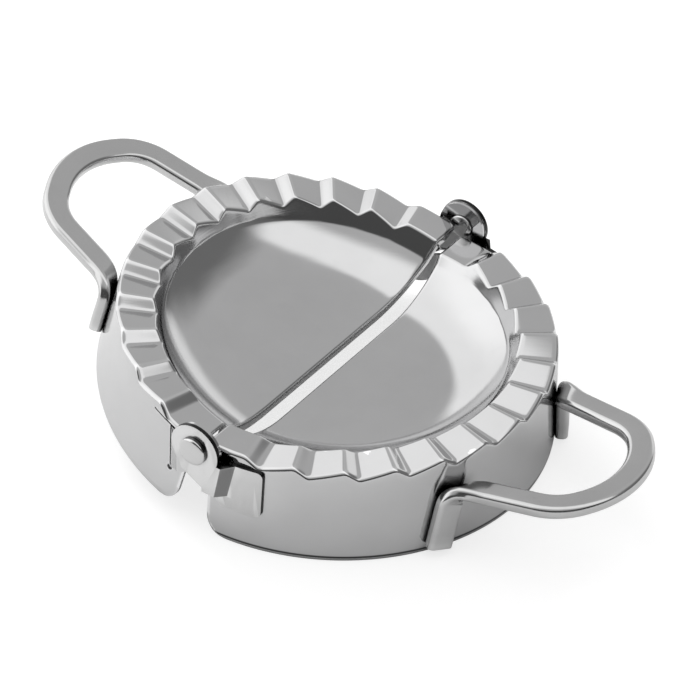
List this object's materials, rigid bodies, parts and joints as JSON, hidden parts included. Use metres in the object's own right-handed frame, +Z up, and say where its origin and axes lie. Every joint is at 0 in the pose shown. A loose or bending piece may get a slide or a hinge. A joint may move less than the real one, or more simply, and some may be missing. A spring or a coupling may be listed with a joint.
{
  "type": "folding dough press",
  "caption": "Folding press for filled dough: two stamped half bowls with fluted rims and cutting skirts, riveted at a common hinge, each with a loop handle.",
  "frame": {"origin": "on the table under the middle of the hinge line, with the right half level and the left half raised 14 degrees", "axes": "+X from the hinge line towards the level half's handle, +Y along the hinge line, +Z up"},
  "size_m": [0.1459, 0.102, 0.0364],
  "materials": {
    "pressed_steel": "stamped stainless sheet, polished with soft blurred reflections",
    "hinge_steel": "stamped stainless sheet, satin",
    "rivet_steel": "polished domed rivet",
    "strip_steel": "flattened stainless strip, polished, with rounded edges"
  },
  "bodies": {
    "right_half": {"right_shell": "pressed_steel", "near_ear_plate": "hinge_steel", "far_ear_plate": "hinge_steel", "near_rivet": "rivet_steel", "far_rivet": "rivet_steel", "right_handle": "strip_steel"},
    "left_half": {"left_shell": "pressed_steel", "left_handle": "strip_steel"}
  },
  "joints": [
    {"name": "press_hinge", "type": "hinge", "parent": "right_half", "child": "left_half", "pos_m": [0, 0, 0.0224], "axis": [0, 1, 0], "range_deg": [-14, 166]}
  ]
}
